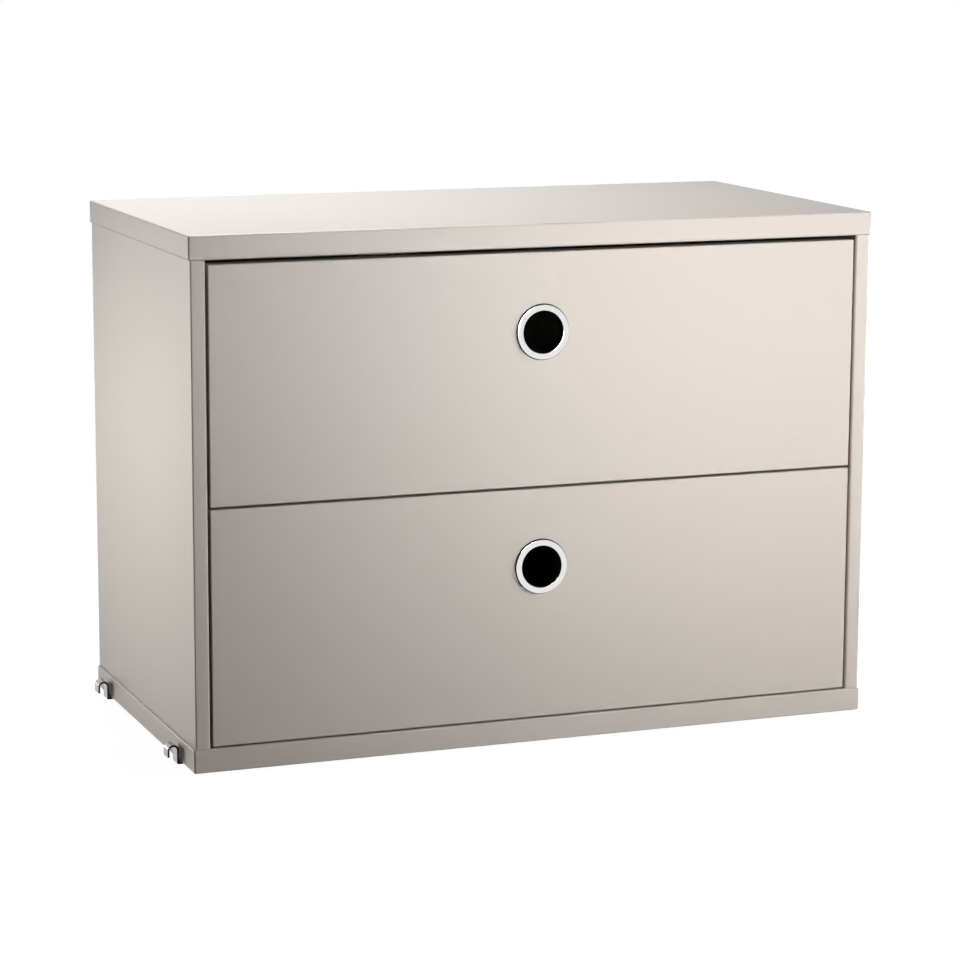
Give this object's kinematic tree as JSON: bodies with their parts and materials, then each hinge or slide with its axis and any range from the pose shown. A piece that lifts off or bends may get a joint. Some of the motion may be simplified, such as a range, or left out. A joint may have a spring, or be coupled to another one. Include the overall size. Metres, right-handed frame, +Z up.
{
  "type": "drawer unit",
  "caption": "Lacquered chest with stacked inset drawers, ring-lined finger holes and roller runners, hung on rungs by strip hooks under its ends.",
  "frame": {"origin": "centre of the case's width and depth, at the level of the hooks' undersides", "axes": "+X to the right seen from the front, the drawers open towards -Y, +Z up"},
  "size_m": [0.6014, 0.3013, 0.4215],
  "materials": {
    "lacquer": "warm beige satin lacquer on fibreboard",
    "back_board": "thin fibreboard, lacquered beige",
    "drawer_board": "foil-faced fibreboard in pale beige",
    "drawer_floor_board": "thin fibreboard with a pale smooth face",
    "dowel_wood": "plain beech",
    "ring_metal": "polished metal",
    "hook_steel": "bright plated strip steel",
    "rail_coating": "off-white powder-coated steel",
    "roller_plastic": "white nylon",
    "screw_steel": "zinc-plated steel"
  },
  "bodies": {
    "case": {"top_panel": "lacquer", "bottom_panel": "lacquer", "left_side_panel": "lacquer", "right_side_panel": "lacquer", "back_panel": "back_board", "case_dowels": "dowel_wood", "hook_screws": "screw_steel", "case_rail_screws": "screw_steel", "left_front_hook": "hook_steel", "left_rear_hook": "hook_steel", "right_front_hook": "hook_steel", "right_rear_hook": "hook_steel", "lower_left_case_rail": "rail_coating", "lower_right_case_rail": "rail_coating", "upper_left_case_rail": "rail_coating", "upper_right_case_rail": "rail_coating", "lower_case_roller_axles": "screw_steel", "upper_case_roller_axles": "screw_steel"},
    "lower_drawer": {"lower_drawer_front": "lacquer", "lower_drawer_back": "drawer_board", "lower_drawer_floor": "drawer_floor_board", "lower_drawer_dowels": "dowel_wood", "lower_drawer_rail_screws": "screw_steel", "lower_drawer_roller_axles": "screw_steel", "lower_finger_ring": "ring_metal", "lower_left_drawer_side": "drawer_board", "lower_left_drawer_rail": "rail_coating", "lower_right_drawer_side": "drawer_board", "lower_right_drawer_rail": "rail_coating"},
    "lower_left_case_wheel": {"lower_left_case_roller": "roller_plastic"},
    "lower_left_drawer_wheel": {"lower_left_drawer_roller": "roller_plastic"},
    "lower_right_case_wheel": {"lower_right_case_roller": "roller_plastic"},
    "lower_right_drawer_wheel": {"lower_right_drawer_roller": "roller_plastic"},
    "upper_drawer": {"upper_drawer_front": "lacquer", "upper_drawer_back": "drawer_board", "upper_drawer_floor": "drawer_floor_board", "upper_drawer_dowels": "dowel_wood", "upper_drawer_rail_screws": "screw_steel", "upper_drawer_roller_axles": "screw_steel", "upper_finger_ring": "ring_metal", "upper_left_drawer_side": "drawer_board", "upper_left_drawer_rail": "rail_coating", "upper_right_drawer_side": "drawer_board", "upper_right_drawer_rail": "rail_coating"},
    "upper_left_case_wheel": {"upper_left_case_roller": "roller_plastic"},
    "upper_left_drawer_wheel": {"upper_left_drawer_roller": "roller_plastic"},
    "upper_right_case_wheel": {"upper_right_case_roller": "roller_plastic"},
    "upper_right_drawer_wheel": {"upper_right_drawer_roller": "roller_plastic"}
  },
  "joints": [
    {"name": "lower_drawer_slide", "type": "slide", "parent": "case", "child": "lower_drawer", "axis": [0, -1, 0], "range_m": [0, 0.211]},
    {"name": "lower_left_case_roller_spin", "type": "hinge", "parent": "case", "child": "lower_left_case_wheel", "pos_m": [-0.2765, -0.1215, 0.0427], "axis": [1, 0, 0], "range_deg": [0, 1516]},
    {"name": "lower_left_drawer_roller_spin", "type": "hinge", "parent": "lower_drawer", "child": "lower_left_drawer_wheel", "pos_m": [-0.264, 0.1085, 0.0405], "axis": [1, 0, 0], "range_deg": [0, 1516]},
    {"name": "lower_right_case_roller_spin", "type": "hinge", "parent": "case", "child": "lower_right_case_wheel", "pos_m": [0.2765, -0.1215, 0.0427], "axis": [1, 0, 0], "range_deg": [0, 1516]},
    {"name": "lower_right_drawer_roller_spin", "type": "hinge", "parent": "lower_drawer", "child": "lower_right_drawer_wheel", "pos_m": [0.264, 0.1085, 0.0405], "axis": [1, 0, 0], "range_deg": [0, 1516]},
    {"name": "upper_drawer_slide", "type": "slide", "parent": "case", "child": "upper_drawer", "axis": [0, -1, 0], "range_m": [0, 0.211]},
    {"name": "upper_left_case_roller_spin", "type": "hinge", "parent": "case", "child": "upper_left_case_wheel", "pos_m": [-0.2765, -0.1215, 0.2322], "axis": [1, 0, 0], "range_deg": [0, 1516]},
    {"name": "upper_left_drawer_roller_spin", "type": "hinge", "parent": "upper_drawer", "child": "upper_left_drawer_wheel", "pos_m": [-0.264, 0.1085, 0.23], "axis": [1, 0, 0], "range_deg": [0, 1516]},
    {"name": "upper_right_case_roller_spin", "type": "hinge", "parent": "case", "child": "upper_right_case_wheel", "pos_m": [0.2765, -0.1215, 0.2322], "axis": [1, 0, 0], "range_deg": [0, 1516]},
    {"name": "upper_right_drawer_roller_spin", "type": "hinge", "parent": "upper_drawer", "child": "upper_right_drawer_wheel", "pos_m": [0.264, 0.1085, 0.23], "axis": [1, 0, 0], "range_deg": [0, 1516]}
  ],
  "couplings": [
    {"joint": "lower_left_case_roller_spin", "follows": "lower_drawer_slide", "rad_per_m": 125},
    {"joint": "lower_left_drawer_roller_spin", "follows": "lower_drawer_slide", "rad_per_m": 125},
    {"joint": "lower_right_case_roller_spin", "follows": "lower_drawer_slide", "rad_per_m": 125},
    {"joint": "lower_right_drawer_roller_spin", "follows": "lower_drawer_slide", "rad_per_m": 125},
    {"joint": "upper_left_case_roller_spin", "follows": "upper_drawer_slide", "rad_per_m": 125},
    {"joint": "upper_left_drawer_roller_spin", "follows": "upper_drawer_slide", "rad_per_m": 125},
    {"joint": "upper_right_case_roller_spin", "follows": "upper_drawer_slide", "rad_per_m": 125},
    {"joint": "upper_right_drawer_roller_spin", "follows": "upper_drawer_slide", "rad_per_m": 125}
  ]
}
